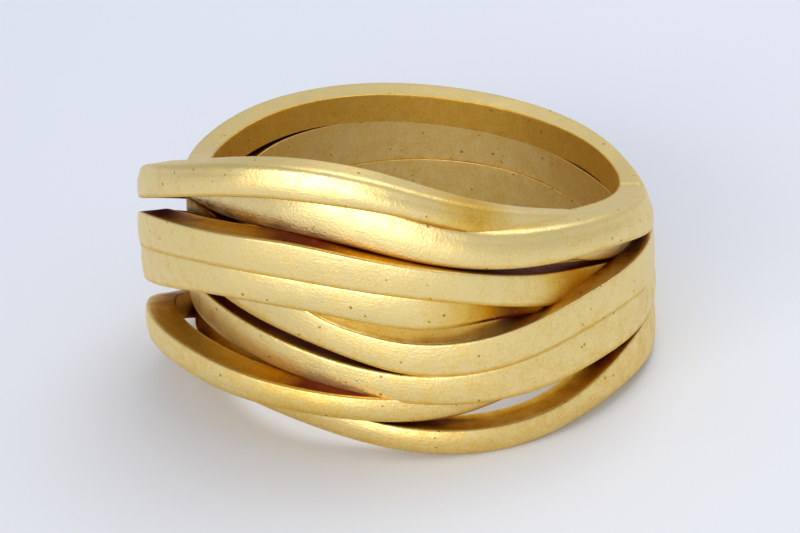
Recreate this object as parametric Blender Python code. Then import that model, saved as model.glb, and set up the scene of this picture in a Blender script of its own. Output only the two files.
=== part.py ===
"""Wave ring: eight flat wavy strands of gold wire, soldered side by side and over one another into one band.

Metres, +Z up. The origin is under the middle of the ring's outline, at the surface the ring lies on. The wide front
of the band faces -Y. Azimuths are in degrees round the axis of the finger hole, 0 at the front and + towards +X.
"""
import math

import bmesh
import bpy
from mathutils import Matrix, Vector

MM = 0.001
BORE_RADIUS = 8.75 * MM
BAND_HEIGHT = 14.0 * MM
BAND_WALL = 3.5 * MM
OUTER_BEVEL = 0.22 * MM
INNER_BEVEL = 0.12 * MM
SECTIONS = 78
EASE_DEGREES = 5.0
EASE_WEIGHTS = (1, 2, 3, 2, 1)
CREASE_DEGREES = 30.0
ROOT_NAME = "wave_ring"

# One row for each section of a strand. azimuth is in degrees. low and high are the heights of the strand's two
# edges as shares of BAND_HEIGHT. back and face are how far its inner and outer faces stand outside the finger
# hole, as shares of BAND_WALL.
STRAND_COLUMNS = ("azimuth", "low", "high", "back", "face")

# Strands that bulge off the band at the left and run inside it at the right.
LEFT_SHARES = {
    "strand_1": (
        (-90, 0.572, 0.680, 0.60, 0.96),
        (-75, 0.684, 0.796, 0.61, 0.97),
        (-60, 0.779, 0.882, 0.56, 0.92),
        (-45, 0.854, 0.954, 0.46, 0.81),
        (-30, 0.886, 0.986, 0.33, 0.69),
        (-15, 0.868, 0.965, 0.20, 0.56),
        (0, 0.811, 0.892, 0.07, 0.43),
        (15, 0.720, 0.814, 0.01, 0.34),
        (30, 0.618, 0.745, 0.00, 0.25),
        (45, 0.522, 0.684, 0.00, 0.24),
        (60, 0.455, 0.600, 0.00, 0.24),
        (90, 0.357, 0.450, 0.00, 0.24),
        (120, 0.321, 0.425, 0.00, 0.24),
        (150, 0.332, 0.443, 0.06, 0.40),
        (180, 0.335, 0.445, 0.18, 0.53),
        (210, 0.340, 0.450, 0.22, 0.57),
        (240, 0.385, 0.490, 0.32, 0.67),
        (255, 0.462, 0.568, 0.46, 0.82),
    ),
    "strand_3": (
        (-90, 0.412, 0.525, 0.63, 0.99),
        (-75, 0.514, 0.636, 0.65, 1.01),
        (-60, 0.582, 0.698, 0.57, 0.93),
        (-45, 0.620, 0.731, 0.47, 0.83),
        (-30, 0.624, 0.746, 0.34, 0.70),
        (-15, 0.604, 0.716, 0.27, 0.63),
        (0, 0.569, 0.671, 0.21, 0.57),
        (15, 0.516, 0.619, 0.15, 0.51),
        (30, 0.447, 0.557, 0.06, 0.38),
        (45, 0.385, 0.504, 0.01, 0.25),
        (60, 0.331, 0.448, 0.01, 0.25),
        (90, 0.243, 0.361, 0.01, 0.25),
        (120, 0.214, 0.325, 0.01, 0.25),
        (150, 0.221, 0.336, 0.07, 0.41),
        (180, 0.228, 0.342, 0.19, 0.54),
        (210, 0.215, 0.348, 0.21, 0.56),
        (240, 0.205, 0.308, 0.30, 0.65),
        (255, 0.315, 0.422, 0.43, 0.79),
    ),
    "strand_4": (
        (-90, 0.307, 0.416, 0.60, 0.97),
        (-75, 0.393, 0.518, 0.63, 1.00),
        (-60, 0.468, 0.586, 0.55, 0.91),
        (-45, 0.518, 0.624, 0.45, 0.81),
        (-30, 0.524, 0.628, 0.32, 0.68),
        (-15, 0.500, 0.608, 0.25, 0.61),
        (0, 0.458, 0.573, 0.18, 0.54),
        (10, 0.453, 0.540, 0.12, 0.47),
        (20, 0.447, 0.505, 0.04, 0.36),
        (35, 0.379, 0.430, 0.035, 0.26),
        (60, 0.229, 0.335, 0.035, 0.26),
        (90, 0.157, 0.250, 0.035, 0.26),
        (120, 0.121, 0.221, 0.035, 0.26),
        (150, 0.126, 0.229, 0.08, 0.42),
        (180, 0.125, 0.236, 0.20, 0.55),
        (210, 0.112, 0.223, 0.20, 0.55),
        (240, 0.105, 0.213, 0.28, 0.63),
        (255, 0.208, 0.322, 0.41, 0.77),
    ),
    "strand_7": (
        (-90, 0.145, 0.236, 0.57, 0.95),
        (-75, 0.186, 0.279, 0.66, 1.04),
        (-60, 0.184, 0.277, 0.56, 0.92),
        (-45, 0.170, 0.264, 0.45, 0.81),
        (-30, 0.168, 0.253, 0.34, 0.70),
        (-20, 0.159, 0.243, 0.27, 0.63),
        (-8, 0.130, 0.214, 0.07, 0.43),
        (5, 0.123, 0.214, 0.01, 0.34),
        (18, 0.149, 0.225, 0.045, 0.28),
        (30, 0.175, 0.257, 0.045, 0.27),
        (45, 0.179, 0.264, 0.045, 0.27),
        (60, 0.157, 0.250, 0.045, 0.27),
        (90, 0.071, 0.164, 0.045, 0.27),
        (120, 0.043, 0.136, 0.045, 0.27),
        (150, 0.032, 0.137, 0.09, 0.43),
        (180, 0.020, 0.132, 0.21, 0.56),
        (210, 0.008, 0.118, 0.19, 0.54),
        (240, 0.010, 0.110, 0.22, 0.57),
        (255, 0.030, 0.125, 0.34, 0.70),
    ),
}

# Strands that stay round the finger hole and cover the others at the right.
RIGHT_SHARES = {
    "strand_2": (
        (-90, 0.586, 0.696, 0.015, 0.415),
        (-75, 0.657, 0.761, 0.015, 0.415),
        (-60, 0.698, 0.825, 0.015, 0.415),
        (-45, 0.721, 0.868, 0.015, 0.415),
        (-30, 0.734, 0.893, 0.015, 0.415),
        (-15, 0.718, 0.873, 0.015, 0.420),
        (0, 0.666, 0.812, 0.015, 0.445),
        (15, 0.629, 0.743, 0.015, 0.485),
        (30, 0.600, 0.714, 0.015, 0.520),
        (45, 0.582, 0.681, 0.015, 0.550),
        (60, 0.532, 0.637, 0.015, 0.535),
        (75, 0.466, 0.590, 0.015, 0.490),
        (90, 0.439, 0.554, 0.015, 0.375),
        (105, 0.429, 0.537, 0.015, 0.335),
        (120, 0.432, 0.537, 0.015, 0.360),
        (135, 0.436, 0.539, 0.015, 0.425),
        (165, 0.464, 0.564, 0.015, 0.475),
        (195, 0.507, 0.604, 0.015, 0.500),
        (225, 0.536, 0.632, 0.025, 0.500),
        (248, 0.539, 0.639, 0.060, 0.490),
    ),
    "strand_5": (
        (-90, 0.393, 0.588, 0.025, 0.365),
        (-75, 0.421, 0.660, 0.025, 0.405),
        (-60, 0.425, 0.702, 0.025, 0.405),
        (-45, 0.409, 0.640, 0.025, 0.405),
        (-30, 0.382, 0.482, 0.025, 0.405),
        (-15, 0.332, 0.431, 0.015, 0.410),
        (0, 0.285, 0.396, 0.008, 0.435),
        (15, 0.287, 0.401, 0.008, 0.475),
        (30, 0.318, 0.434, 0.008, 0.510),
        (45, 0.347, 0.465, 0.015, 0.540),
        (60, 0.337, 0.461, 0.025, 0.520),
        (75, 0.290, 0.440, 0.025, 0.465),
        (90, 0.278, 0.420, 0.025, 0.425),
        (105, 0.279, 0.434, 0.025, 0.420),
        (135, 0.307, 0.441, 0.025, 0.420),
        (165, 0.343, 0.469, 0.025, 0.420),
        (195, 0.354, 0.512, 0.025, 0.420),
        (225, 0.364, 0.525, 0.025, 0.420),
        (248, 0.382, 0.493, 0.025, 0.385),
    ),
    "strand_6": (
        (-90, 0.243, 0.379, 0.005, 0.425),
        (-75, 0.259, 0.382, 0.005, 0.420),
        (-60, 0.274, 0.386, 0.005, 0.415),
        (-45, 0.267, 0.375, 0.005, 0.415),
        (-30, 0.241, 0.348, 0.005, 0.415),
        (-15, 0.214, 0.315, 0.005, 0.420),
        (0, 0.194, 0.291, 0.005, 0.440),
        (15, 0.185, 0.293, 0.005, 0.480),
        (30, 0.195, 0.323, 0.005, 0.515),
        (45, 0.218, 0.353, 0.005, 0.535),
        (60, 0.210, 0.343, 0.005, 0.510),
        (75, 0.199, 0.297, 0.005, 0.455),
        (90, 0.158, 0.284, 0.005, 0.430),
        (120, 0.150, 0.292, 0.005, 0.430),
        (150, 0.179, 0.330, 0.005, 0.430),
        (180, 0.193, 0.353, 0.005, 0.430),
        (210, 0.214, 0.362, 0.005, 0.430),
        (240, 0.257, 0.379, 0.005, 0.430),
    ),
    "strand_8": (
        (-90, 0.021, 0.150, 0.020, 0.400),
        (-75, 0.054, 0.171, 0.020, 0.400),
        (-60, 0.082, 0.193, 0.020, 0.400),
        (-45, 0.093, 0.200, 0.020, 0.400),
        (-30, 0.079, 0.182, 0.020, 0.400),
        (-15, 0.046, 0.136, 0.020, 0.415),
        (0, 0.018, 0.105, 0.020, 0.435),
        (10, 0.004, 0.092, 0.020, 0.435),
        (20, 0.000, 0.088, 0.020, 0.435),
        (30, 0.007, 0.092, 0.020, 0.435),
        (45, 0.036, 0.130, 0.020, 0.435),
        (60, 0.042, 0.175, 0.020, 0.435),
        (75, 0.022, 0.182, 0.020, 0.435),
        (90, 0.000, 0.159, 0.020, 0.420),
        (120, 0.000, 0.153, 0.020, 0.415),
        (150, 0.000, 0.182, 0.020, 0.410),
        (180, 0.000, 0.196, 0.020, 0.410),
        (210, 0.000, 0.143, 0.020, 0.410),
        (255, 0.000, 0.129, 0.020, 0.405),
    ),
}


def clear_scene():
    for thing in list(bpy.data.objects):
        bpy.data.objects.remove(thing, do_unlink=True)


def ring_slopes(turns, values):
    """Slope at each row of a closed column, limited so that the curve never runs past a row's value."""
    count = len(values)
    steps = [(turns[(i + 1) % count] - turns[i]) % 360.0 for i in range(count)]
    rises = [(values[(i + 1) % count] - values[i]) / steps[i] for i in range(count)]
    slopes = []
    for i in range(count):
        before, after = rises[i - 1], rises[i]
        if before * after <= 0.0:
            slopes.append(0.0)
            continue
        width_before = 2.0 * steps[i] + steps[i - 1]
        width_after = steps[i] + 2.0 * steps[i - 1]
        slopes.append((width_before + width_after) / (width_before / before + width_after / after))
    return steps, slopes


def ring_value(turns, values, angle):
    """Value of a closed column at an azimuth, on a smooth curve through its rows."""
    steps, slopes = ring_slopes(turns, values)
    count = len(values)
    for i in range(count):
        along = (angle - turns[i]) % 360.0
        if along < steps[i]:
            s = along / steps[i]
            start, end = values[i], values[(i + 1) % count]
            lift_start = slopes[i] * steps[i]
            lift_end = slopes[(i + 1) % count] * steps[i]
            return (
                (2 * s**3 - 3 * s**2 + 1) * start
                + (s**3 - 2 * s**2 + s) * lift_start
                + (3 * s**2 - 2 * s**3) * end
                + (s**3 - s**2) * lift_end
            )
    raise ValueError("azimuth outside the table")


def eased_value(turns, values, angle):
    """The closed column's value, averaged over the azimuths next to it, as stiff wire rounds off its bends."""
    middle = len(EASE_WEIGHTS) // 2
    total = 0.0
    for k, weight in enumerate(EASE_WEIGHTS):
        total += weight * ring_value(turns, values, (angle + (k - middle) * EASE_DEGREES) % 360.0)
    return total / sum(EASE_WEIGHTS)


def strand_section(row):
    """Corners of a strand's cross section as (radius, height), anticlockwise seen with the outside at the right."""
    inner = BORE_RADIUS + row["back"] * BAND_WALL
    outer = BORE_RADIUS + row["face"] * BAND_WALL
    low = row["low"] * BAND_HEIGHT
    high = row["high"] * BAND_HEIGHT
    return (
        (inner + INNER_BEVEL, low),
        (outer - OUTER_BEVEL, low),
        (outer, low + OUTER_BEVEL),
        (outer, high - OUTER_BEVEL),
        (outer - OUTER_BEVEL, high),
        (inner + INNER_BEVEL, high),
        (inner, high - INNER_BEVEL),
        (inner, low + INNER_BEVEL),
    )


def add_strand(name, rows):
    """One closed loop of flat wire, swept round the finger hole through its rows."""
    turns = [row[0] % 360.0 for row in rows]
    order = sorted(range(len(rows)), key=lambda i: turns[i])
    turns = [turns[i] for i in order]
    columns = {
        column: [rows[i][k] for i in order] for k, column in enumerate(STRAND_COLUMNS) if column != "azimuth"
    }
    shape = bmesh.new()
    loops = []
    for k in range(SECTIONS):
        azimuth = 360.0 * k / SECTIONS
        turn = math.radians(azimuth)
        row = {column: eased_value(turns, values, azimuth) for column, values in columns.items()}
        loops.append(
            [
                shape.verts.new((radius * math.sin(turn), -radius * math.cos(turn), height))
                for radius, height in strand_section(row)
            ]
        )
    for k in range(SECTIONS):
        here, there = loops[k], loops[(k + 1) % SECTIONS]
        corners = len(here)
        for j in range(corners):
            shape.faces.new((here[j], there[j], there[(j + 1) % corners], here[(j + 1) % corners]))
    bmesh.ops.triangulate(shape, faces=shape.faces[:])
    bmesh.ops.recalc_face_normals(shape, faces=shape.faces[:])
    mesh = bpy.data.meshes.new(name)
    shape.to_mesh(mesh)
    shape.free()
    strand = bpy.data.objects.new(name, mesh)
    bpy.context.scene.collection.objects.link(strand)
    return strand


def join_solid(keep, other):
    """Solders the other solid to the kept one: a Boolean union, after which the other is gone."""
    union = keep.modifiers.new("solder", "BOOLEAN")
    union.operation = "UNION"
    union.solver = "MANIFOLD"
    union.object = other
    graph = bpy.context.evaluated_depsgraph_get()
    graph.update()
    joined = bpy.data.meshes.new_from_object(keep.evaluated_get(graph))
    keep.modifiers.clear()
    keep.data = joined
    bpy.data.objects.remove(other, do_unlink=True)


def stand_on_origin(ring):
    """Moves the solid so that the middle of its outline is over the origin and its lowest faces are at zero."""
    corners = [vertex.co for vertex in ring.data.vertices]
    low = Vector([min(corner[axis] for corner in corners) for axis in range(3)])
    high = Vector([max(corner[axis] for corner in corners) for axis in range(3)])
    middle = (low + high) / 2.0
    ring.data.transform(Matrix.Translation((-middle.x, -middle.y, -low.z)))


def gold_material():
    material = bpy.data.materials.new("satin_gold")
    material.use_nodes = True
    shader = material.node_tree.nodes["Principled BSDF"]
    shader.inputs["Base Color"].default_value = (0.83, 0.62, 0.27, 1.0)
    shader.inputs["Metallic"].default_value = 1.0
    shader.inputs["Roughness"].default_value = 0.32
    return material


def build_ring():
    tables = {**RIGHT_SHARES, **LEFT_SHARES}
    strands = [add_strand(name, tables[name]) for name in sorted(tables)]
    ring = strands[0]
    for other in strands[1:]:
        join_solid(ring, other)
    stand_on_origin(ring)
    ring.name = ROOT_NAME
    ring.data.name = ROOT_NAME
    ring.data.materials.clear()
    ring.data.materials.append(gold_material())
    ring.data.shade_smooth()
    ring.data.set_sharp_from_angle(angle=math.radians(CREASE_DEGREES))
    return ring


def main():
    clear_scene()
    build_ring()


main()
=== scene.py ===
"""Wave ring: eight flat wavy strands of satin gold wire, soldered over one another into a finger ring."""
import math

import bpy
import numpy as np
from mathutils import Matrix, Vector
from mathutils.bvhtree import BVHTree


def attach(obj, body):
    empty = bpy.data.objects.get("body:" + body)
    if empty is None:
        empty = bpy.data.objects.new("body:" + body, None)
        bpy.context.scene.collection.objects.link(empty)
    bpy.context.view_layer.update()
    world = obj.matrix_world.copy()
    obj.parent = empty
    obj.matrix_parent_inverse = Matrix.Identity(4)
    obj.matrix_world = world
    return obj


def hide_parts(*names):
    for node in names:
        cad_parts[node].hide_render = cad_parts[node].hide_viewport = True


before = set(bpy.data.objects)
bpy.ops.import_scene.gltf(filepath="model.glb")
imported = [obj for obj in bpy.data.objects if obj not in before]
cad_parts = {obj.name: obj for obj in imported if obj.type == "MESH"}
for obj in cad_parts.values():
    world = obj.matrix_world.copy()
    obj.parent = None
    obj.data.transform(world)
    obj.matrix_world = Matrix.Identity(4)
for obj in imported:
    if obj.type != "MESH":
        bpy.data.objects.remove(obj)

bl_info = {
    "name": "Wave Ring",
    "version": (1, 0, 0),
    "blender": (4, 5, 0),
    "location": "3D View > Sidebar > Wave Ring",
    "description": "Builds a ring of wavy gold strands from section tables, and the stage it lies on",
    "category": "Object",
}

MM = 0.001
CAD_NODE = "wave_ring"
BODY = "root"
GOLD_NAME = "worn_satin_gold"
GROUP_NAME = "flat_wire_loops"

# One row for each section of a strand. azimuth is in degrees round the finger hole, 0 at the front and +
# towards +X. low and high are the heights of the strand's two edges as shares of the band's height. back
# and face are how far its inner and outer faces stand outside the finger hole, as shares of the band's
# wall.
STRAND_COLUMNS = ("azimuth", "low", "high", "back", "face")

# Strands that bulge off the band at the left and run inside it at the right.
LEFT_SHARES = {
    "strand_1": (
        (-90, 0.572, 0.680, 0.60, 0.96),
        (-75, 0.684, 0.796, 0.61, 0.97),
        (-60, 0.779, 0.882, 0.56, 0.92),
        (-45, 0.854, 0.954, 0.46, 0.81),
        (-30, 0.886, 0.986, 0.33, 0.69),
        (-15, 0.868, 0.965, 0.20, 0.56),
        (0, 0.811, 0.892, 0.07, 0.43),
        (15, 0.720, 0.814, 0.01, 0.34),
        (30, 0.618, 0.745, 0.00, 0.25),
        (45, 0.522, 0.684, 0.00, 0.24),
        (60, 0.455, 0.600, 0.00, 0.24),
        (90, 0.357, 0.450, 0.00, 0.24),
        (120, 0.321, 0.425, 0.00, 0.24),
        (150, 0.332, 0.443, 0.06, 0.40),
        (180, 0.335, 0.445, 0.18, 0.53),
        (210, 0.340, 0.450, 0.22, 0.57),
        (240, 0.385, 0.490, 0.32, 0.67),
        (255, 0.462, 0.568, 0.46, 0.82),
    ),
    "strand_3": (
        (-90, 0.412, 0.525, 0.63, 0.99),
        (-75, 0.514, 0.636, 0.65, 1.01),
        (-60, 0.582, 0.698, 0.57, 0.93),
        (-45, 0.620, 0.731, 0.47, 0.83),
        (-30, 0.624, 0.746, 0.34, 0.70),
        (-15, 0.604, 0.716, 0.27, 0.63),
        (0, 0.569, 0.671, 0.21, 0.57),
        (15, 0.516, 0.619, 0.15, 0.51),
        (30, 0.447, 0.557, 0.06, 0.38),
        (45, 0.385, 0.504, 0.01, 0.25),
        (60, 0.331, 0.448, 0.01, 0.25),
        (90, 0.243, 0.361, 0.01, 0.25),
        (120, 0.214, 0.325, 0.01, 0.25),
        (150, 0.221, 0.336, 0.07, 0.41),
        (180, 0.228, 0.342, 0.19, 0.54),
        (210, 0.215, 0.348, 0.21, 0.56),
        (240, 0.205, 0.308, 0.30, 0.65),
        (255, 0.315, 0.422, 0.43, 0.79),
    ),
    "strand_4": (
        (-90, 0.307, 0.416, 0.60, 0.97),
        (-75, 0.393, 0.518, 0.63, 1.00),
        (-60, 0.468, 0.586, 0.55, 0.91),
        (-45, 0.518, 0.624, 0.45, 0.81),
        (-30, 0.524, 0.628, 0.32, 0.68),
        (-15, 0.500, 0.608, 0.25, 0.61),
        (0, 0.458, 0.573, 0.18, 0.54),
        (10, 0.453, 0.540, 0.12, 0.47),
        (20, 0.447, 0.505, 0.04, 0.36),
        (35, 0.379, 0.430, 0.035, 0.26),
        (60, 0.229, 0.335, 0.035, 0.26),
        (90, 0.157, 0.250, 0.035, 0.26),
        (120, 0.121, 0.221, 0.035, 0.26),
        (150, 0.126, 0.229, 0.08, 0.42),
        (180, 0.125, 0.236, 0.20, 0.55),
        (210, 0.112, 0.223, 0.20, 0.55),
        (240, 0.105, 0.213, 0.28, 0.63),
        (255, 0.208, 0.322, 0.41, 0.77),
    ),
    "strand_7": (
        (-90, 0.145, 0.236, 0.57, 0.95),
        (-75, 0.186, 0.279, 0.66, 1.04),
        (-60, 0.184, 0.277, 0.56, 0.92),
        (-45, 0.170, 0.264, 0.45, 0.81),
        (-30, 0.168, 0.253, 0.34, 0.70),
        (-20, 0.159, 0.243, 0.27, 0.63),
        (-8, 0.130, 0.214, 0.07, 0.43),
        (5, 0.123, 0.214, 0.01, 0.34),
        (18, 0.149, 0.225, 0.045, 0.28),
        (30, 0.175, 0.257, 0.045, 0.27),
        (45, 0.179, 0.264, 0.045, 0.27),
        (60, 0.157, 0.250, 0.045, 0.27),
        (90, 0.071, 0.164, 0.045, 0.27),
        (120, 0.043, 0.136, 0.045, 0.27),
        (150, 0.032, 0.137, 0.09, 0.43),
        (180, 0.020, 0.132, 0.21, 0.56),
        (210, 0.008, 0.118, 0.19, 0.54),
        (240, 0.010, 0.110, 0.22, 0.57),
        (255, 0.030, 0.125, 0.34, 0.70),
    ),
}

# Strands that stay round the finger hole and cover the others at the right.
RIGHT_SHARES = {
    "strand_2": (
        (-90, 0.586, 0.696, 0.015, 0.415),
        (-75, 0.657, 0.761, 0.015, 0.415),
        (-60, 0.698, 0.825, 0.015, 0.415),
        (-45, 0.721, 0.868, 0.015, 0.415),
        (-30, 0.734, 0.893, 0.015, 0.415),
        (-15, 0.718, 0.873, 0.015, 0.420),
        (0, 0.666, 0.812, 0.015, 0.445),
        (15, 0.629, 0.743, 0.015, 0.485),
        (30, 0.600, 0.714, 0.015, 0.520),
        (45, 0.582, 0.681, 0.015, 0.550),
        (60, 0.532, 0.637, 0.015, 0.535),
        (75, 0.466, 0.590, 0.015, 0.490),
        (90, 0.439, 0.554, 0.015, 0.375),
        (105, 0.429, 0.537, 0.015, 0.335),
        (120, 0.432, 0.537, 0.015, 0.360),
        (135, 0.436, 0.539, 0.015, 0.425),
        (165, 0.464, 0.564, 0.015, 0.475),
        (195, 0.507, 0.604, 0.015, 0.500),
        (225, 0.536, 0.632, 0.025, 0.500),
        (248, 0.539, 0.639, 0.060, 0.490),
    ),
    "strand_5": (
        (-90, 0.393, 0.588, 0.025, 0.365),
        (-75, 0.421, 0.660, 0.025, 0.405),
        (-60, 0.425, 0.702, 0.025, 0.405),
        (-45, 0.409, 0.640, 0.025, 0.405),
        (-30, 0.382, 0.482, 0.025, 0.405),
        (-15, 0.332, 0.431, 0.015, 0.410),
        (0, 0.285, 0.396, 0.008, 0.435),
        (15, 0.287, 0.401, 0.008, 0.475),
        (30, 0.318, 0.434, 0.008, 0.510),
        (45, 0.347, 0.465, 0.015, 0.540),
        (60, 0.337, 0.461, 0.025, 0.520),
        (75, 0.290, 0.440, 0.025, 0.465),
        (90, 0.278, 0.420, 0.025, 0.425),
        (105, 0.279, 0.434, 0.025, 0.420),
        (135, 0.307, 0.441, 0.025, 0.420),
        (165, 0.343, 0.469, 0.025, 0.420),
        (195, 0.354, 0.512, 0.025, 0.420),
        (225, 0.364, 0.525, 0.025, 0.420),
        (248, 0.382, 0.493, 0.025, 0.385),
    ),
    "strand_6": (
        (-90, 0.243, 0.379, 0.005, 0.425),
        (-75, 0.259, 0.382, 0.005, 0.420),
        (-60, 0.274, 0.386, 0.005, 0.415),
        (-45, 0.267, 0.375, 0.005, 0.415),
        (-30, 0.241, 0.348, 0.005, 0.415),
        (-15, 0.214, 0.315, 0.005, 0.420),
        (0, 0.194, 0.291, 0.005, 0.440),
        (15, 0.185, 0.293, 0.005, 0.480),
        (30, 0.195, 0.323, 0.005, 0.515),
        (45, 0.218, 0.353, 0.005, 0.535),
        (60, 0.210, 0.343, 0.005, 0.510),
        (75, 0.199, 0.297, 0.005, 0.455),
        (90, 0.158, 0.284, 0.005, 0.430),
        (120, 0.150, 0.292, 0.005, 0.430),
        (150, 0.179, 0.330, 0.005, 0.430),
        (180, 0.193, 0.353, 0.005, 0.430),
        (210, 0.214, 0.362, 0.005, 0.430),
        (240, 0.257, 0.379, 0.005, 0.430),
    ),
    "strand_8": (
        (-90, 0.021, 0.150, 0.020, 0.400),
        (-75, 0.054, 0.171, 0.020, 0.400),
        (-60, 0.082, 0.193, 0.020, 0.400),
        (-45, 0.093, 0.200, 0.020, 0.400),
        (-30, 0.079, 0.182, 0.020, 0.400),
        (-15, 0.046, 0.136, 0.020, 0.415),
        (0, 0.018, 0.105, 0.020, 0.435),
        (10, 0.004, 0.092, 0.020, 0.435),
        (20, 0.000, 0.088, 0.020, 0.435),
        (30, 0.007, 0.092, 0.020, 0.435),
        (45, 0.036, 0.130, 0.020, 0.435),
        (60, 0.042, 0.175, 0.020, 0.435),
        (75, 0.022, 0.182, 0.020, 0.435),
        (90, 0.000, 0.159, 0.020, 0.420),
        (120, 0.000, 0.153, 0.020, 0.415),
        (150, 0.000, 0.182, 0.020, 0.410),
        (180, 0.000, 0.196, 0.020, 0.410),
        (210, 0.000, 0.143, 0.020, 0.410),
        (255, 0.000, 0.129, 0.020, 0.405),
    ),
}

# How each strand's cross section differs from a plain bar. top and foot are the radii of its outer
# corners at the front, crown is how far its outer face swells, and lean is how far that face's top stands
# back from its foot, all in millimetres. inside, upper and edge are the painted shade, brown from shade
# and from gold mirrored in gold, on its inner face, its upper face and its lower outer corner, from 0 to 1.
SECTION_COLUMNS = ("top", "foot", "crown", "lean", "inside", "upper", "edge")
SECTION_SHAPES = {
    "strand_1": (0.34, 0.14, 0.09, 0.16, 0.14, 0.00, 0.42),
    "strand_2": (0.42, 0.24, 0.10, 0.24, 0.50, 0.00, 0.20),
    "strand_3": (0.10, 0.12, 0.05, 0.03, 0.12, 0.54, 0.42),
    "strand_4": (0.14, 0.16, 0.06, 0.00, 0.12, 0.42, 0.30),
    "strand_5": (0.10, 0.12, 0.05, 0.03, 0.12, 0.48, 0.42),
    "strand_6": (0.12, 0.14, 0.05, 0.00, 0.12, 0.54, 0.30),
    "strand_7": (0.10, 0.28, 0.06, 0.02, 0.15, 0.56, 0.15),
    "strand_8": (0.12, 0.34, 0.06, 0.02, 0.15, 0.52, 0.10),
}
# Share of the outer corners' rounding that is left at the back of the ring.
BACK_WEAR = 0.35

# Stretches of a strand with more painted shade where it dives under its neighbour, or less where it lies open
# to the light: the strand, the faces that change, the azimuth of its middle, how far it reaches to either
# side in degrees, and the change of painted shade.
PAINTED_SHADE_STRETCHES = (
    ("strand_1", "all", 14.0, 9.0, 0.48),
    ("strand_1", "all", 31.0, 6.0, -0.30),
    ("strand_2", "all", 310.0, 24.0, -0.85),
    ("strand_3", "all", 43.0, 13.0, 0.74),
    ("strand_3", "upper", 283.0, 11.0, 0.85),
    ("strand_3", "upper", 333.0, 13.0, 0.50),
    ("strand_4", "all", 22.5, 15.5, 0.97),
    ("strand_5", "all", 76.0, 8.0, -0.75),
    ("strand_5", "upper", 46.0, 16.0, -0.70),
    ("strand_7", "all", 262.0, 17.0, -0.60),
    ("strand_7", "all", 330.0, 14.0, 0.20),
    ("strand_7", "upper", 340.0, 11.0, 0.50),
    ("strand_8", "upper", 318.0, 14.0, 0.40),
)

# Solder seams across a strand, each a shallow groove: the strand, the azimuth, the width in degrees and
# the depth in millimetres.
SOLDER_SEAMS = (("strand_2", 84.0, 1.8, 0.09),)

# Stiff wire rounds off its bends: a value is averaged over azimuths this many degrees apart, with these
# weights.
EASE_DEGREES = 5.0
EASE_WEIGHTS = (1, 2, 3, 2, 1)

# The wire's inner corners, and how many points its cross section has on each corner and on each flat
# between two.
INNER_ROUNDING = 0.04 * MM
CORNER_POINTS = 5
FLAT_POINTS = 4
# Largest share of half the wire's smaller side that a corner's rounding takes.
CORNER_ROOM = 0.95
# How far each strand's grain is shifted from the next one's, in millimetres, so that no two are alike.
GRAIN_SHIFT = 7.3

# How hidden a point is. Its rays start this far off the metal and count where they lean at least this
# much away from it. The point is buried in another strand where more than this share of them meets that
# strand from inside.
RAY_START = 0.02 * MM
LEAST_LEAN = 0.1
BURIED_SHARE = 0.5
# A buried point starts from this value and takes that of the points around it, then half of what metal
# that touches counts as. Last, every point is smoothed along its strand.
BURIED_START = 0.7
BURIED_PASSES = 60
CONTACT_RECESS = 1.0
SMOOTHING_PASSES = 24

# The gold's noises, each with its cells per millimetre and its detail: slow dents from filing, cloudy
# wear, fine frosting, and brush marks, whose coordinates are stretched along the strand.
DENTS = (0.75, 1.5)
WEAR = (1.6, 4.0)
FROSTING = (9.0, 3.0)
BRUSH = (1.0, 3.0)
BRUSH_STRETCH = (0.9, 0.9, 16.0)
# How deep each cuts, in millimetres.
DENT_RELIEF = 0.040
FROSTING_RELIEF = 0.0140
BRUSH_RELIEF = 0.0070
PINHOLE_RELIEF = 0.002
# Pinholes: the share of the cells that have none, the radii in shares of a cell, and how full of dirt
# they are.
EMPTY_CELLS = 0.55
PINHOLE_RADII = (0.05, 0.16)
PINHOLE_DIRT = 0.8
# How unevenly the painted shade begins, how much wear and frosting mottle the lit metal, and the painted
# shade at the foot, with the height at which it has faded out.
RECESS_UNEVENNESS = 0.12
WEAR_MOTTLING = 0.55
FROSTING_MOTTLING = 0.70
FOOT_SHADE = 0.20
FOOT_SHADE_HEIGHT = 6.5 * MM
# Where amber and brown stand on the painted shade's way from lit gold, at 0, to maroon, at 1.
AMBER_SHADE = 0.42
BROWN_SHADE = 0.76
# The wear at which the metal is smoothest and roughest, by how much, and how much duller the metal is made
# where the painted shade lies.
WEAR_RANGE = (0.3, 0.7)
ROUGHNESS_SPREAD = 0.05
BROWN_DULLING = 0.14

# The stage in metres: the paper, the stretch towards +Y over which it turns bluer, and that towards -X
# over which painted shade darkens it.
PAPER_SIDE = 2.0
PAPER_ROUGHNESS = 0.85
FAR_RANGE = (-0.012, 0.028)
LEFT_RANGE = (0.012, -0.022)
# The heights and the sides of the sky between which its colour and its strength change.
CEILING_RANGE = (0.0, 0.9)
WEAK_SKY_RANGE = (-1.0, 0.4)
# Where the lights aim, and each light's place, size and colour.
LIGHT_AIM = (0.0, 0.0, 0.006)
KEY_LIGHT = ((0.20, 0.25, 0.70), (0.5, 0.5), (1.0, 0.98, 0.95))
FRONT_LIGHT = ((-0.24, -0.54, 0.21), (0.62, 0.38), (1.0, 0.99, 0.96))
# The camera's sensor width in millimetres, and how near to it the camera sees, in metres.
SENSOR_WIDTH = 36.0
CLIP_START = 0.001


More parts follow.
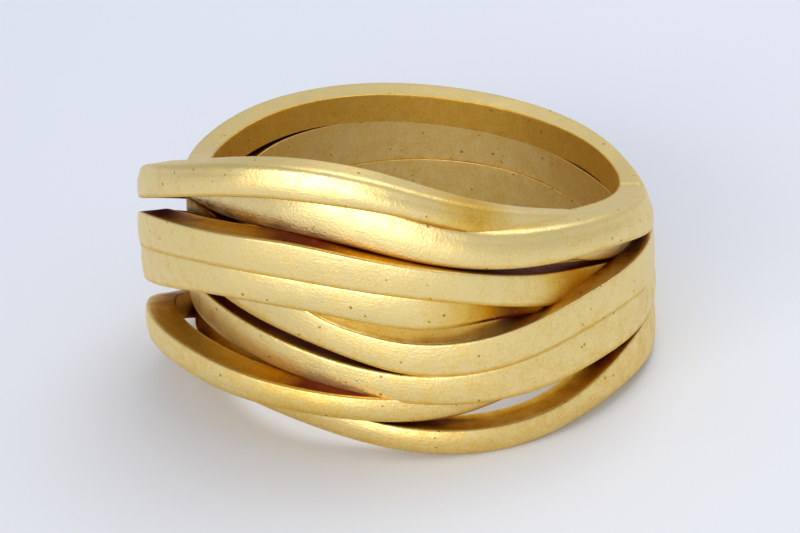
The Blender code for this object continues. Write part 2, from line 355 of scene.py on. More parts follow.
def closed_slopes(turns, values):
    """Slope at each row of a closed column, limited so that the curve never runs past a row's value."""
    count = len(values)
    steps = [(turns[(i + 1) % count] - turns[i]) % 360.0 for i in range(count)]
    rises = [(values[(i + 1) % count] - values[i]) / steps[i] for i in range(count)]
    slopes = []
    for i in range(count):
        before, after = rises[i - 1], rises[i]
        if before * after <= 0.0:
            slopes.append(0.0)
            continue
        width_before = 2.0 * steps[i] + steps[i - 1]
        width_after = steps[i] + 2.0 * steps[i - 1]
        slopes.append((width_before + width_after) / (width_before / before + width_after / after))
    return steps, slopes


def closed_value(column, angle):
    """Value of a closed column at an azimuth, on a smooth curve through its rows."""
    turns, values, steps, slopes = column
    count = len(values)
    for i in range(count):
        along = (angle - turns[i]) % 360.0
        if along < steps[i]:
            s = along / steps[i]
            start, end = values[i], values[(i + 1) % count]
            lift_start = slopes[i] * steps[i]
            lift_end = slopes[(i + 1) % count] * steps[i]
            return (
                (2 * s**3 - 3 * s**2 + 1) * start
                + (s**3 - 2 * s**2 + s) * lift_start
                + (3 * s**2 - 2 * s**3) * end
                + (s**3 - s**2) * lift_end
            )
    raise ValueError("azimuth outside the table")


def eased_value(column, angle):
    """The closed column's value, averaged over the azimuths next to it."""
    middle = len(EASE_WEIGHTS) // 2
    total = 0.0
    for k, weight in enumerate(EASE_WEIGHTS):
        total += weight * closed_value(column, (angle + (k - middle) * EASE_DEGREES) % 360.0)
    return total / sum(EASE_WEIGHTS)


def strand_columns(rows):
    """Each of a strand's columns, ready to be read at any azimuth."""
    turns = [row[0] % 360.0 for row in rows]
    order = sorted(range(len(rows)), key=lambda i: turns[i])
    turns = [turns[i] for i in order]
    columns = {}
    for k, name in enumerate(STRAND_COLUMNS):
        if name != "azimuth":
            values = [rows[i][k] for i in order]
            columns[name] = (turns, values, *closed_slopes(turns, values))
    return columns


def seam_depth(name, azimuth):
    """How deep a solder seam cuts into a strand's top and outer face at an azimuth."""
    depth = 0.0
    for strand, middle, width, deepest in SOLDER_SEAMS:
        if strand == name:
            depth += deepest * MM * math.exp(-(((azimuth - middle) / width) ** 2))
    return depth


def painted_shade_change(name, faces, azimuth):
    """How much more painted shade a strand's faces take at an azimuth than its table row alone gives."""
    change = 0.0
    for strand, shaded_faces, middle, reach, most in PAINTED_SHADE_STRETCHES:
        if (strand, shaded_faces) == (name, faces):
            change += most * math.exp(-(((azimuth - middle) / reach) ** 2))
    return change


def strand_paths(tables, hole_axis):
    """A mesh with one closed loop of edges for each strand, whose points carry the wire's section sizes."""
    shape = bpy.context.scene.ring_shape
    names = ("turn", "inner", "outer", "low", "high", *SECTION_COLUMNS, "painted_shade_change", "upper_shade_change", "wire")
    fields = {name: [] for name in names}
    points, edges = [], []
    for name, rows in sorted(tables.items()):
        columns = strand_columns(rows)
        top, foot, crown, lean, *browns = SECTION_SHAPES[name]
        first = len(points)
        for k in range(shape.sections):
            azimuth = 360.0 * k / shape.sections
            row = {column: eased_value(values, azimuth) for column, values in columns.items()}
            turn = math.radians(azimuth)
            groove = seam_depth(name, azimuth)
            inner = shape.bore_radius + row["back"] * shape.band_wall
            outer = shape.bore_radius + row["face"] * shape.band_wall - groove
            low, high = row["low"] * shape.band_height, row["high"] * shape.band_height - groove
            middle = (inner + outer) / 2.0
            points.append(
                hole_axis + Vector((middle * math.sin(turn), -middle * math.cos(turn), (low + high) / 2.0))
            )
            edges.append((first + k, first + (k + 1) % shape.sections))
            worn = MM * (BACK_WEAR + (1.0 - BACK_WEAR) * (1.0 + math.cos(turn)) / 2.0)
            sizes = (turn, inner, outer, low, high, top * worn, foot * worn, crown * MM, lean * MM)
            # Painted shade stretches, on all faces and on the upper face alone.
            shade_changes = (painted_shade_change(name, "all", azimuth), painted_shade_change(name, "upper", azimuth))
            wire = float(name[-1])
            for field, value in zip(names, (*sizes, *browns, *shade_changes, wire)):
                fields[field].append(value)
    mesh = bpy.data.meshes.new("strand_paths")
    mesh.from_pydata(points, edges, [])
    for field, values in fields.items():
        mesh.attributes.new(field, "FLOAT", "POINT").data.foreach_set("value", values)
    return mesh


class NodeTree:
    """Adds nodes to a tree and links them, one short call for each."""

    def __init__(self, tree):
        self.tree = tree

    def feed(self, socket, value):
        """Links the value to the socket if it is a socket too, and otherwise sets it."""
        if isinstance(value, bpy.types.NodeSocket):
            self.tree.links.new(value, socket)
        else:
            socket.default_value = value

    def add(self, kind, inputs=None, **settings):
        node = self.tree.nodes.new(kind)
        for name, value in settings.items():
            setattr(node, name, value)
        for key, value in (inputs or {}).items():
            self.feed(node.inputs[key], value)
        return node

    def math(self, operation, *values):
        node = self.add("ShaderNodeMath", operation=operation)
        for socket, value in zip(node.inputs, values):
            self.feed(socket, value)
        return node.outputs[0]

    def plus(self, *values):
        total = values[0]
        for value in values[1:]:
            total = self.math("ADD", total, value)
        return total

    def minus(self, first, second):
        return self.math("SUBTRACT", first, second)

    def times(self, *values):
        total = values[0]
        for value in values[1:]:
            total = self.math("MULTIPLY", total, value)
        return total

    def between(self, share, first, second):
        """The value at a share of the way from the first to the second."""
        return self.plus(first, self.times(share, self.minus(second, first)))

    def ranged(self, value, given, wanted=(0.0, 1.0), **settings):
        """The value, carried over from the given range to the wanted one and held inside it."""
        inputs = {
            "Value": value,
            "From Min": given[0],
            "From Max": given[1],
            "To Min": wanted[0],
            "To Max": wanted[1],
        }
        return self.add("ShaderNodeMapRange", inputs, **settings).outputs["Result"]

    def noise(self, vector, scale, detail):
        inputs = {"Vector": vector, "Scale": scale, "Detail": detail}
        return self.add("ShaderNodeTexNoise", inputs).outputs["Fac"]

    def attribute(self, name, output="Fac"):
        """A value that the mesh carries, for a material."""
        return self.add("ShaderNodeAttribute", attribute_name=name).outputs[output]

    def scaled(self, vector, scale):
        return self.add("ShaderNodeMapping", {"Vector": vector, "Scale": scale}).outputs["Vector"]

    def mixed(self, share, first, second, blend="MIX"):
        """The first colour with a share of the second blended in."""
        inputs = {"Factor": share, "A": first, "B": second}
        return self.add("ShaderNodeMix", inputs, data_type="RGBA", blend_type=blend).outputs["Result"]

    def field(self, name):
        """A value that the points carry, for a node group."""
        node = self.add("GeometryNodeInputNamedAttribute", {"Name": name}, data_type="FLOAT")
        return node.outputs["Attribute"]

    def store(self, geometry, name, value, kind="FLOAT"):
        inputs = {"Geometry": geometry, "Name": name, "Value": value}
        return self.add("GeometryNodeStoreNamedAttribute", inputs, data_type=kind).outputs["Geometry"]


def add_socket(tree, name, kind, default=None, out=False):
    socket = tree.interface.new_socket(name=name, in_out="OUTPUT" if out else "INPUT", socket_type=kind)
    if default is not None:
        socket.default_value = default
    return socket


def wire_profile(tree, corner_points, flat_points):
    """The wire's cross section as a ring of points: an arc for each of four corners, then a flat."""
    quarter = tree.plus(corner_points, flat_points)
    count = tree.times(quarter, 4.0)
    ring = tree.add("GeometryNodeCurvePrimitiveCircle", {"Resolution": count, "Radius": MM}, mode="RADIUS")
    index = tree.add("GeometryNodeInputIndex").outputs["Index"]
    corner = tree.math("FLOOR", tree.math("DIVIDE", tree.plus(index, 0.5), quarter))
    step = tree.minus(index, tree.times(corner, quarter))
    last = tree.minus(corner_points, 1.0)
    arc = tree.math("MINIMUM", tree.math("DIVIDE", step, last), 1.0)
    even = tree.math("MAXIMUM", tree.math("DIVIDE", tree.minus(step, last), tree.plus(flat_points, 1.0)), 0.0)
    flat = tree.times(even, even, tree.minus(3.0, tree.times(even, 2.0)))
    angle = tree.times(tree.plus(corner, arc), math.pi / 2.0)
    middle = tree.times(tree.plus(corner, 0.5), math.pi / 2.0)
    following = tree.plus(middle, math.pi / 2.0)
    curve = ring.outputs["Curve"]
    for name, value in (
        ("corner_x", tree.math("SIGN", tree.math("COSINE", middle))),
        ("corner_z", tree.math("SIGN", tree.math("SINE", middle))),
        ("next_x", tree.math("SIGN", tree.math("COSINE", following))),
        ("next_z", tree.math("SIGN", tree.math("SINE", following))),
        ("arc_x", tree.math("COSINE", angle)),
        ("arc_z", tree.math("SINE", angle)),
        ("flat", flat),
    ):
        curve = tree.store(curve, name, value)
    return curve


def corner_place(tree, corner_x, corner_z, inner_rounding):
    """Where a point on a corner's arc stands, across and up from the middle of the wire."""
    on_outer = tree.math("GREATER_THAN", corner_x, 0.0)
    on_top = tree.math("GREATER_THAN", corner_z, 0.0)
    outer_rounding = tree.between(on_top, tree.field("foot"), tree.field("top"))
    rounding = tree.between(on_outer, inner_rounding, outer_rounding)
    half_wall = tree.times(tree.minus(tree.field("outer"), tree.field("inner")), 0.5)
    half_height = tree.times(tree.minus(tree.field("high"), tree.field("low")), 0.5)
    room = tree.times(tree.math("MINIMUM", half_wall, half_height), CORNER_ROOM)
    rounding = tree.math("MINIMUM", rounding, room)
    side = tree.plus(
        tree.times(corner_x, tree.minus(half_wall, rounding)), tree.times(tree.field("arc_x"), rounding)
    )
    side = tree.minus(side, tree.times(on_outer, on_top, tree.field("lean")))
    rise = tree.plus(
        tree.times(corner_z, tree.minus(half_height, rounding)), tree.times(tree.field("arc_z"), rounding)
    )
    return side, rise


def flat_wire_group():
    """Geometry Nodes: sweeps flat wire with worn corners along closed paths that carry its sizes."""
    group = bpy.data.node_groups.new(GROUP_NAME, "GeometryNodeTree")
    add_socket(group, "Strand Paths", "NodeSocketGeometry")
    add_socket(group, "Inner Rounding", "NodeSocketFloat", INNER_ROUNDING)
    add_socket(group, "Corner Points", "NodeSocketInt", CORNER_POINTS)
    add_socket(group, "Flat Points", "NodeSocketInt", FLAT_POINTS)
    add_socket(group, "Hole Axis", "NodeSocketVector")
    add_socket(group, "Gold", "NodeSocketMaterial")
    add_socket(group, "Strands", "NodeSocketGeometry", out=True)
    tree = NodeTree(group)
    given = tree.add("NodeGroupInput").outputs
    paths = tree.add("GeometryNodeMeshToCurve", {"Mesh": given["Strand Paths"]}).outputs["Curve"]
    profile = wire_profile(tree, given["Corner Points"], given["Flat Points"])
    swept = tree.add("GeometryNodeCurveToMesh", {"Curve": paths, "Profile Curve": profile}).outputs["Mesh"]

    corner_x, corner_z = tree.field("corner_x"), tree.field("corner_z")
    next_x, next_z, flat = tree.field("next_x"), tree.field("next_z"), tree.field("flat")
    here_side, here_rise = corner_place(tree, corner_x, corner_z, given["Inner Rounding"])
    there_side, there_rise = corner_place(tree, next_x, next_z, given["Inner Rounding"])
    side, rise = tree.between(flat, here_side, there_side), tree.between(flat, here_rise, there_rise)
    both_outer = tree.math("GREATER_THAN", tree.plus(corner_x, next_x), 1.0)
    both_inner = tree.math("LESS_THAN", tree.plus(corner_x, next_x), -1.0)
    swell = tree.times(flat, tree.minus(1.0, flat), 4.0)
    side = tree.plus(side, tree.times(both_outer, swell, tree.field("crown")))

    turn, outer = tree.field("turn"), tree.field("outer")
    radius = tree.plus(tree.times(tree.plus(tree.field("inner"), outer), 0.5), side)
    place = tree.add(
        "ShaderNodeCombineXYZ",
        {
            "X": tree.times(radius, tree.math("SINE", turn)),
            "Y": tree.times(radius, tree.math("COSINE", turn), -1.0),
            "Z": tree.plus(tree.times(tree.plus(tree.field("low"), tree.field("high")), 0.5), rise),
        },
    ).outputs["Vector"]
    moved = tree.add("ShaderNodeVectorMath", {0: place, 1: given["Hole Axis"]}, operation="ADD")
    placed = moved.outputs["Vector"]
    outer_mm = tree.math("DIVIDE", outer, MM)
    round_wire_mm = tree.math("DIVIDE", tree.plus(side, rise), MM)
    grain = tree.add(
        "ShaderNodeCombineXYZ",
        {
            "X": tree.times(tree.math("SINE", turn), outer_mm),
            "Y": tree.times(tree.math("COSINE", turn), outer_mm),
            "Z": tree.plus(round_wire_mm, tree.times(tree.field("wire"), GRAIN_SHIFT)),
        },
    ).outputs["Vector"]

    # Painted shade on the upper face, the inner face and the lower outer corner, with its stretches added.
    both_upper = tree.math("GREATER_THAN", tree.plus(corner_z, next_z), 1.0)
    on_flat = tree.math("GREATER_THAN", flat, 0.0)
    on_foot = tree.times(tree.math("GREATER_THAN", corner_x, 0.0), tree.math("LESS_THAN", corner_z, 0.0))
    upper_brown = tree.times(both_upper, on_flat, tree.plus(tree.field("upper"), tree.field("upper_shade_change")))
    on_inner = tree.math("LESS_THAN", corner_x, 0.0)
    inner_side = tree.times(on_inner, tree.math("MAXIMUM", both_inner, tree.minus(1.0, on_flat)))
    inner_brown = tree.times(inner_side, tree.field("inside"))
    foot_brown = tree.times(on_foot, tree.minus(1.0, on_flat), tree.field("edge"))
    face_brown = tree.math("MAXIMUM", tree.math("MAXIMUM", inner_brown, upper_brown), foot_brown)
    painted_shade = tree.store(swept, "painted_shade", tree.plus(face_brown, tree.field("painted_shade_change")))
    faced = tree.store(painted_shade, "outer_face", tree.times(both_outer, on_flat))
    grained = tree.store(faced, "grain", grain, "FLOAT_VECTOR")
    set_place = tree.add("GeometryNodeSetPosition", {"Geometry": grained, "Position": placed})
    smooth = tree.add("GeometryNodeSetShadeSmooth", {"Geometry": set_place.outputs["Geometry"]})
    real = tree.add("GeometryNodeRealizeInstances", {"Geometry": smooth.outputs["Geometry"]})
    realized = real.outputs["Geometry"]
    gold = tree.add("GeometryNodeSetMaterial", {"Geometry": realized, "Material": given["Gold"]})
    tree.add("NodeGroupOutput", {"Strands": gold.outputs["Geometry"]})
    return group


def run_group(paths, group, values, name):
    """The group's result on a mesh, as a plain mesh object with no modifier left."""
    holder = bpy.data.objects.new(name, paths)
    bpy.context.scene.collection.objects.link(holder)
    modifier = holder.modifiers.new("shape", "NODES")
    modifier.node_group = group
    for item in group.interface.items_tree:
        if item.in_out == "INPUT" and item.name in values:
            modifier[item.identifier] = values[item.name]
    holder.update_tag()
    graph = bpy.context.evaluated_depsgraph_get()
    graph.update()
    mesh = bpy.data.meshes.new_from_object(holder.evaluated_get(graph))
    holder.modifiers.clear()
    holder.data = mesh
    mesh.name = name
    if not mesh.polygons:
        raise RuntimeError(f"{name}: the node group made no faces")
    return holder


def face_outwards(mesh):
    """Turns the faces round if their signed volume says that they point in."""
    volume = 0.0
    for face in mesh.polygons:
        corners = [mesh.vertices[i].co for i in face.vertices]
        for k in range(1, len(corners) - 1):
            volume += corners[0].dot(corners[k].cross(corners[k + 1]))
    if volume < 0.0:
        mesh.flip_normals()


def look_directions(count):
    """Directions spread evenly over a whole sphere."""
    golden_turn = math.pi * (3.0 - math.sqrt(5.0))
    directions = []
    for k in range(count):
        z = 1.0 - (2.0 * k + 1.0) / count
        ring = math.sqrt(1.0 - z * z)
        directions.append(Vector((ring * math.cos(golden_turn * k), ring * math.sin(golden_turn * k), z)))
    return directions


def recess_at(neighbours, vertex, directions, reach):
    """Share of what a point faces that another strand hides, from 0 to 1, or None inside another strand."""
    start = vertex.co + vertex.normal * RAY_START
    seen = blocked = buried = 0.0
    for direction in directions:
        facing = direction.dot(vertex.normal)
        if facing > LEAST_LEAN:
            seen += facing
            hit_normal = neighbours.ray_cast(start, direction, reach)[1]
            if hit_normal is not None:
                blocked += facing
                if hit_normal.dot(direction) > 0.0:
                    buried += facing
    return None if buried > BURIED_SHARE * seen else blocked / seen


def measure_recesses(strands, reach, rays, profile_points):
    """Stores as "recess" how hidden each point is by the strands near it, smoothed along each strand."""
    corners, faces = [], []
    for strand in strands:
        first = len(corners)
        corners.extend(vertex.co.copy() for vertex in strand.data.vertices)
        faces.extend([first + corner for corner in face.vertices] for face in strand.data.polygons)
    neighbours = BVHTree.FromPolygons(corners, faces)
    directions = look_directions(rays)
    sections = bpy.context.scene.ring_shape.sections
    for strand in strands:
        found = [recess_at(neighbours, vertex, directions, reach) for vertex in strand.data.vertices]
        buried = np.array([value is None for value in found]).reshape(-1, sections, profile_points)
        recess = np.array([BURIED_START if value is None else value for value in found]).reshape(buried.shape)
        for _ in range(BURIED_PASSES):
            along = np.roll(recess, 1, 1) + np.roll(recess, -1, 1)
            round_wire = np.roll(recess, 1, 2) + np.roll(recess, -1, 2)
            recess = np.where(buried, (along + round_wire) / 4.0, recess)
        recess = np.where(buried, (recess + CONTACT_RECESS) / 2.0, recess)
        for _ in range(SMOOTHING_PASSES):
            recess = (np.roll(recess, 1, 1) + 2.0 * recess + np.roll(recess, -1, 1)) / 4.0
        strand.data.attributes.new("recess", "FLOAT", "POINT").data.foreach_set("value", recess.ravel())


def new_material(name):
    """A material with its node tree and its Principled shader."""
    material = bpy.data.materials.new(name)
    material.use_nodes = True
    return material, NodeTree(material.node_tree), material.node_tree.nodes["Principled BSDF"]


def pinhole_dirt(tree, place_mm, cells_per_mm):
    """How much dirt a point holds: small round pinholes, each in a cell of its own."""
    cells = tree.add("ShaderNodeTexVoronoi", {"Vector": place_mm, "Scale": cells_per_mm})
    lot = tree.add("ShaderNodeSeparateColor", {"Color": cells.outputs["Color"]}).outputs
    chosen = tree.math("GREATER_THAN", lot["Red"], EMPTY_CELLS)
    radius = tree.ranged(lot["Green"], (0.0, 1.0), PINHOLE_RADII)
    within = tree.math("LESS_THAN", cells.outputs["Distance"], radius)
    return tree.times(chosen, within, PINHOLE_DIRT)


def painted_recess_shade(tree, finish, worn, frosting, height):
    """Painted shade, brown from gold mirrored in gold: 0 for lit gold, 1 for the maroon deep between the
    strands.
    """
    uneven, fine = tree.minus(worn, 0.5), tree.minus(frosting, 0.5)
    depth = tree.plus(tree.attribute("recess"), tree.times(uneven, RECESS_UNEVENNESS))
    depth = tree.minus(depth, tree.times(tree.attribute("outer_face"), finish.outer_relief))
    reach = (finish.recess_start, finish.recess_end)
    hollow = tree.ranged(depth, reach, interpolation_type="SMOOTHSTEP")
    unshaded = tree.times(tree.minus(1.0, hollow), tree.minus(1.0, tree.attribute("painted_shade")))
    mottling = tree.plus(tree.times(uneven, WEAR_MOTTLING), tree.times(fine, FROSTING_MOTTLING))
    foot_shade = tree.ranged(height, (0.0, FOOT_SHADE_HEIGHT), (FOOT_SHADE, 0.0))
    return tree.plus(tree.minus(1.0, unshaded), tree.times(tree.plus(mottling, foot_shade), unshaded))


def satin_gold(finish):
    """Yellow gold with a satin grain, dents from filing and a few pinholes, and painted shade where it is
    hidden.
    """
    material, tree, shader = new_material(GOLD_NAME)
    place = tree.add("ShaderNodeTexCoord").outputs["Object"]
    height = tree.add("ShaderNodeSeparateXYZ", {"Vector": place}).outputs["Z"]
    place_mm = tree.scaled(place, (1.0 / MM, 1.0 / MM, 1.0 / MM))
    brush = tree.noise(tree.scaled(tree.attribute("grain", "Vector"), BRUSH_STRETCH), *BRUSH)
    frosting = tree.noise(place_mm, *FROSTING)
    dents = tree.noise(place_mm, *DENTS)
    worn = tree.noise(place_mm, *WEAR)
    dirt = pinhole_dirt(tree, place_mm, finish.pinholes)
    shade = painted_recess_shade(tree, finish, worn, frosting, height)

    # The painted shade's colours, from lit gold through amber and brown to maroon.
    tint = tree.add("ShaderNodeValToRGB", {"Fac": shade})
    stops = tint.color_ramp.elements
    stops[0].position, stops[0].color = 0.0, finish.gold
    stops[1].position, stops[1].color = 1.0, finish.maroon
    stops.new(AMBER_SHADE).color = finish.amber
    stops.new(BROWN_SHADE).color = finish.brown
    colour = tree.mixed(dirt, tint.outputs["Color"], finish.pinhole_brown)

    spread = (finish.roughness - ROUGHNESS_SPREAD, finish.roughness + ROUGHNESS_SPREAD)
    gloss = tree.ranged(worn, WEAR_RANGE, spread)
    dulled = tree.plus(gloss, tree.times(tree.math("MINIMUM", shade, 1.0), BROWN_DULLING))

    relief = tree.plus(
        tree.times(dents, DENT_RELIEF), tree.times(brush, BRUSH_RELIEF), tree.times(frosting, FROSTING_RELIEF)
    )
    relief = tree.minus(relief, tree.times(dirt, PINHOLE_RELIEF))
    bump = tree.add("ShaderNodeBump", {"Height": relief, "Strength": 1.0, "Distance": MM})

    tree.feed(shader.inputs["Base Color"], colour)
    tree.feed(shader.inputs["Metallic"], 1.0)
    tree.feed(shader.inputs["Roughness"], dulled)
    tree.feed(shader.inputs["Specular Tint"], finish.grazing)
    tree.feed(shader.inputs["Normal"], bump.outputs["Normal"])
    return material


def floor_material(look):
    """Matt white paper, a little bluer away from the camera, with painted shade that darkens it at the left.
    """
    material, tree, shader = new_material("studio_paper")
    place = tree.add("ShaderNodeTexCoord").outputs["Object"]
    apart = tree.add("ShaderNodeSeparateXYZ", {"Vector": place}).outputs
    paper = tree.mixed(tree.ranged(apart["Y"], FAR_RANGE), look.paper_near, look.paper_far)
    shaded = tree.mixed(tree.ranged(apart["X"], LEFT_RANGE), paper, look.left_shade, "MULTIPLY")
    tree.feed(shader.inputs["Base Color"], shaded)
    tree.feed(shader.inputs["Roughness"], PAPER_ROUGHNESS)
    return material


def add_area_light(name, place, size, colour, power):
    """A rectangular light that aims at the ring."""
    light = bpy.data.lights.new(name, "AREA")
    light.shape = "RECTANGLE"
    light.size, light.size_y = size
    light.energy = power
    light.color = colour
    lamp = bpy.data.objects.new(name, light)
    lamp.location = place
    lamp.rotation_euler = (Vector(LIGHT_AIM) - Vector(place)).to_track_quat("-Z", "Y").to_euler()
    bpy.context.scene.collection.objects.link(lamp)
    return lamp


def add_camera(look, hole_axis):
    """The camera looks at the finger hole's axis from the front and above, rolled a little to the right."""
    data = bpy.data.cameras.new("ring_camera")
    data.lens = look.lens
    data.sensor_width = SENSOR_WIDTH
    data.shift_x, data.shift_y = look.shift
    data.clip_start = CLIP_START
    data.dof.use_dof = False
    camera = bpy.data.objects.new("ring_camera", data)
    back = Vector((0.0, -math.cos(look.elevation), math.sin(look.elevation)))
    right = Vector((1.0, 0.0, 0.0))
    up = back.cross(right)
    rolled_right = math.cos(look.roll) * right - math.sin(look.roll) * up
    rolled_up = math.sin(look.roll) * right + math.cos(look.roll) * up
    matrix = Matrix((rolled_right, rolled_up, back)).transposed().to_4x4()
    matrix.translation = hole_axis + Vector((0.0, 0.0, look.aim_height)) + back * look.distance
    camera.matrix_world = matrix
    bpy.context.scene.collection.objects.link(camera)
    bpy.context.scene.camera = camera


def set_world(look):
    """Soft light from all round, cooler from above and weaker from the left."""
    world = bpy.data.worlds.new("studio_light")
    world.use_nodes = True
    tree = NodeTree(world.node_tree)
    background = world.node_tree.nodes["Background"]
    direction = tree.add("ShaderNodeTexCoord").outputs["Generated"]
    apart = tree.add("ShaderNodeSeparateXYZ", {"Vector": direction}).outputs
    colour = tree.mixed(tree.ranged(apart["Z"], CEILING_RANGE), look.horizon, look.ceiling)
    strengths = (look.sky_strength * look.left_sky, look.sky_strength)
    tree.feed(background.inputs["Color"], colour)
    tree.feed(background.inputs["Strength"], tree.ranged(apart["X"], WEAK_SKY_RANGE, strengths))
    bpy.context.scene.world = world


class RingShape(bpy.types.PropertyGroup):
    bore_radius: bpy.props.FloatProperty(
        name="Bore Radius", description="Radius of the finger hole", default=8.75 * MM, unit="LENGTH",
        precision=5,
    )
    band_height: bpy.props.FloatProperty(
        name="Band Height", description="Height of the band at its front", default=14.0 * MM, unit="LENGTH",
        precision=5,
    )
    band_wall: bpy.props.FloatProperty(
        name="Band Wall", description="Furthest the strands stand out from the finger hole", default=3.5 * MM,
        unit="LENGTH", precision=5,
    )
    inner_rounding: bpy.props.FloatProperty(
        name="Inner Rounding", description="Radius of the strands' inner corners", default=INNER_ROUNDING,
        unit="LENGTH", precision=5,
    )
    sections: bpy.props.IntProperty(
        name="Sections", description="Cross sections round each strand", default=540, min=24
    )
    corner_points: bpy.props.IntProperty(
        name="Corner Points", description="Points on each worn corner of the wire",
        default=CORNER_POINTS, min=2,
    )
    flat_points: bpy.props.IntProperty(
        name="Flat Points", description="Points on each flat of the wire, between two corners",
        default=FLAT_POINTS, min=0,
    )


class GoldFinish(bpy.types.PropertyGroup):
    gold: bpy.props.FloatVectorProperty(
        name="Gold", description="Colour of the clean metal", default=(0.86, 0.68, 0.295, 1.0), size=4,
        subtype="COLOR",
    )
    # amber, brown and maroon are the colours of the painted shade where other strands hide the metal.
    amber: bpy.props.FloatVectorProperty(
        name="Amber", description="Colour where a strand begins to be hidden",
        default=(0.76, 0.50, 0.10, 1.0), size=4, subtype="COLOR",
    )
    brown: bpy.props.FloatVectorProperty(
        name="Brown", description="Colour between two strands", default=(0.56, 0.25, 0.004, 1.0), size=4,
        subtype="COLOR",
    )
    maroon: bpy.props.FloatVectorProperty(
        name="Maroon", description="Colour in the deepest gaps", default=(0.13, 0.014, 0.008, 1.0), size=4,
        subtype="COLOR",
    )
    grazing: bpy.props.FloatVectorProperty(
        name="Grazing", description="Tint of the metal's reflection at a flat angle",
        default=(1.0, 0.98, 0.94, 1.0), size=4, subtype="COLOR",
    )
    pinhole_brown: bpy.props.FloatVectorProperty(
        name="Pinhole Brown", description="Colour of the dirt in the pinholes",
        default=(0.36, 0.18, 0.02, 1.0), size=4, subtype="COLOR",
    )
    roughness: bpy.props.FloatProperty(
        name="Roughness", description="Mean roughness of the satin finish", default=0.40, min=0.0, max=1.0
    )
    pinholes: bpy.props.FloatProperty(
        name="Pinholes", description="Cells per millimetre that a pinhole may fall in", default=2.2, min=0.1
    )
    # The hidden shares at which the painted shade begins and is darkest.
    recess_start: bpy.props.FloatProperty(
        name="Recess Start", description="Hidden share at which the metal begins to turn brown", default=0.36,
        subtype="FACTOR", min=0.0, max=1.0,
    )
    recess_end: bpy.props.FloatProperty(
        name="Recess End", description="Hidden share at which the metal is darkest", default=0.84,
        subtype="FACTOR", min=0.0, max=1.0,
    )
    outer_relief: bpy.props.FloatProperty(
        name="Outer Relief", description="How much less hidden the strands' outer faces count as",
        default=0.34, subtype="FACTOR", min=0.0, max=1.0,
    )
    recess_reach: bpy.props.FloatProperty(
        name="Recess Reach", description="How far away a strand still hides another", default=3.0 * MM,
        unit="LENGTH", precision=5,
    )
    recess_rays: bpy.props.IntProperty(
        name="Recess Rays", description="Directions tried round each point", default=48, min=8
    )


class StageLook(bpy.types.PropertyGroup):
    elevation: bpy.props.FloatProperty(
        name="Elevation", description="Angle at which the camera looks down", default=math.radians(28.0),
        subtype="ANGLE",
    )
    roll: bpy.props.FloatProperty(
        name="Roll", description="Camera's turn about its own view", default=math.radians(2.96),
        subtype="ANGLE",
    )
    distance: bpy.props.FloatProperty(
        name="Distance", description="Camera's distance from the ring", default=0.160, unit="LENGTH"
    )
    aim_height: bpy.props.FloatProperty(
        name="Aim Height", description="Height on the finger hole's axis that the camera aims at",
        default=2.75 * MM, unit="LENGTH", precision=5,
    )
    lens: bpy.props.FloatProperty(name="Lens", description="Focal length in millimetres", default=162.4)
    shift: bpy.props.FloatVectorProperty(
        name="Shift", description="Lens shift across and up", default=(-0.028, 0.0294), size=2
    )
    paper_near: bpy.props.FloatVectorProperty(
        name="Paper Near", description="Floor colour in front of the ring",
        default=(0.80, 0.82, 0.87, 1.0), size=4, subtype="COLOR",
    )
    paper_far: bpy.props.FloatVectorProperty(
        name="Paper Far", description="Floor colour behind the ring", default=(0.79, 0.82, 0.90, 1.0), size=4,
        subtype="COLOR",
    )
    left_shade: bpy.props.FloatVectorProperty(
        name="Left Shade", description="What the floor's colour is multiplied by at the left",
        default=(0.93, 0.93, 0.95, 1.0), size=4, subtype="COLOR",
    )
    horizon: bpy.props.FloatVectorProperty(
        name="Horizon", description="Colour of the light near the surface",
        default=(0.95, 0.96, 1.0, 1.0), size=4, subtype="COLOR",
    )
    ceiling: bpy.props.FloatVectorProperty(
        name="Ceiling", description="Colour of the light from above", default=(0.84, 0.88, 0.96, 1.0), size=4,
        subtype="COLOR",
    )
    sky_strength: bpy.props.FloatProperty(
        name="Sky Strength", description="Strength of the light from all round", default=0.67, min=0.0
    )
    left_sky: bpy.props.FloatProperty(
        name="Left Sky", description="Share of the sky's strength that is left at the far left", default=0.78,
        subtype="FACTOR", min=0.0, max=1.0,
    )
    key_power: bpy.props.FloatProperty(
        name="Key Power", description="Power of the overhead light in watts", default=1.8, min=0.0
    )
    front_power: bpy.props.FloatProperty(
        name="Front Power", description="Power of the front light in watts", default=3.0, min=0.0
    )


def finger_hole_axis():
    """Where the finger hole's axis stands when the middle of the band's outline is over the origin."""
    shape = bpy.context.scene.ring_shape
    across, along = [], []
    for rows in (*LEFT_SHARES.values(), *RIGHT_SHARES.values()):
        face = strand_columns(rows)["face"]
        for azimuth in range(360):
            outer = shape.bore_radius + eased_value(face, azimuth) * shape.band_wall
            across.append(outer * math.sin(math.radians(azimuth)))
            along.append(-outer * math.cos(math.radians(azimuth)))
    return Vector((-(min(across) + max(across)) / 2.0, -(min(along) + max(along)) / 2.0, 0.0))


def build_strands(tables, name):
    """Sweeps a group of strands as one piece that stands in the CAD solid's place."""
    scene = bpy.context.scene
    shape = scene.ring_shape
    hole_axis = finger_hole_axis()
    values = {
        "Inner Rounding": shape.inner_rounding,
        "Corner Points": shape.corner_points,
        "Flat Points": shape.flat_points,
        "Hole Axis": hole_axis,
        "Gold": bpy.data.materials.get(GOLD_NAME) or satin_gold(scene.gold_finish),
    }
    group = bpy.data.node_groups.get(GROUP_NAME) or flat_wire_group()
    strands = run_group(strand_paths(tables, hole_axis), group, values, name)
    face_outwards(strands.data)
    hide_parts(CAD_NODE)
    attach(strands, BODY)
    return strands


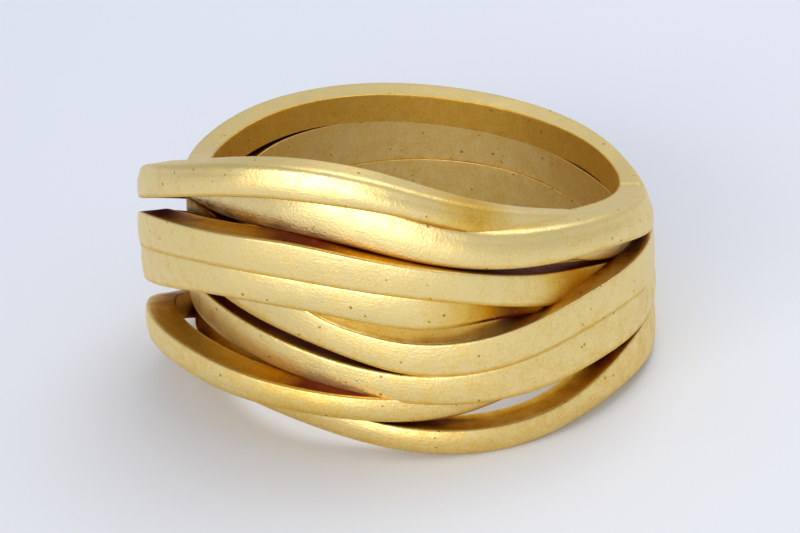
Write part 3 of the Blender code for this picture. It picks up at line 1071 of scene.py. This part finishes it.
class WAVERING_OT_left_strands(bpy.types.Operator):
    """Sweeps the four strands that bulge off the band at the left"""

    bl_idname = "wavering.left_strands"
    bl_label = "Build Left Strands"

    def execute(self, context):
        build_strands(LEFT_SHARES, "left_strands")
        return {"FINISHED"}


class WAVERING_OT_right_strands(bpy.types.Operator):
    """Sweeps the four strands that stay round the finger hole"""

    bl_idname = "wavering.right_strands"
    bl_label = "Build Right Strands"

    def execute(self, context):
        build_strands(RIGHT_SHARES, "right_strands")
        return {"FINISHED"}


class WAVERING_OT_recesses(bpy.types.Operator):
    """Measures how deep each point lies between the strands, which the gold's painted shade follows"""

    bl_idname = "wavering.recesses"
    bl_label = "Measure Recesses"

    def execute(self, context):
        finish, shape = context.scene.gold_finish, context.scene.ring_shape
        strands = [bpy.data.objects["left_strands"], bpy.data.objects["right_strands"]]
        profile_points = 4 * (shape.corner_points + shape.flat_points)
        measure_recesses(strands, finish.recess_reach, finish.recess_rays, profile_points)
        return {"FINISHED"}


class WAVERING_OT_stage(bpy.types.Operator):
    """Lays the white paper, sets the studio light and places the camera"""

    bl_idname = "wavering.stage"
    bl_label = "Build Stage"

    def execute(self, context):
        look = context.scene.stage_look
        bpy.ops.mesh.primitive_plane_add(size=PAPER_SIDE)
        paper = context.active_object
        paper.name = "paper"
        paper.data.materials.append(floor_material(look))
        key = add_area_light("key_light", *KEY_LIGHT, look.key_power)
        front = add_area_light("front_light", *FRONT_LIGHT, look.front_power)
        set_world(look)
        add_camera(look, finger_hole_axis())
        context.scene.view_settings.view_transform = "Standard"
        return {"FINISHED"}


class WAVERING_PT_panel(bpy.types.Panel):
    bl_label = "Wave Ring"
    bl_idname = "WAVERING_PT_panel"
    bl_space_type = "VIEW_3D"
    bl_region_type = "UI"
    bl_category = "Wave Ring"

    def draw(self, context):
        layout = self.layout
        for group in (context.scene.ring_shape, context.scene.gold_finish, context.scene.stage_look):
            box = layout.box()
            for name in group.__annotations__:
                box.prop(group, name)
        for operator in OPERATORS:
            layout.operator(operator.bl_idname)


OPERATORS = (WAVERING_OT_left_strands, WAVERING_OT_right_strands, WAVERING_OT_recesses, WAVERING_OT_stage)
CLASSES = (RingShape, GoldFinish, StageLook, *OPERATORS, WAVERING_PT_panel)
SCENE_GROUPS = {"ring_shape": RingShape, "gold_finish": GoldFinish, "stage_look": StageLook}


def register():
    for cls in CLASSES:
        bpy.utils.register_class(cls)
    for name, group in SCENE_GROUPS.items():
        setattr(bpy.types.Scene, name, bpy.props.PointerProperty(type=group))


def unregister():
    for name in SCENE_GROUPS:
        delattr(bpy.types.Scene, name)
    for cls in reversed(CLASSES):
        bpy.utils.unregister_class(cls)


def main():
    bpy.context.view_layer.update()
    register()
    bpy.ops.wavering.left_strands()
    bpy.ops.wavering.right_strands()
    bpy.ops.wavering.recesses()
    bpy.ops.wavering.stage()


if __name__ == "__main__":
    main()
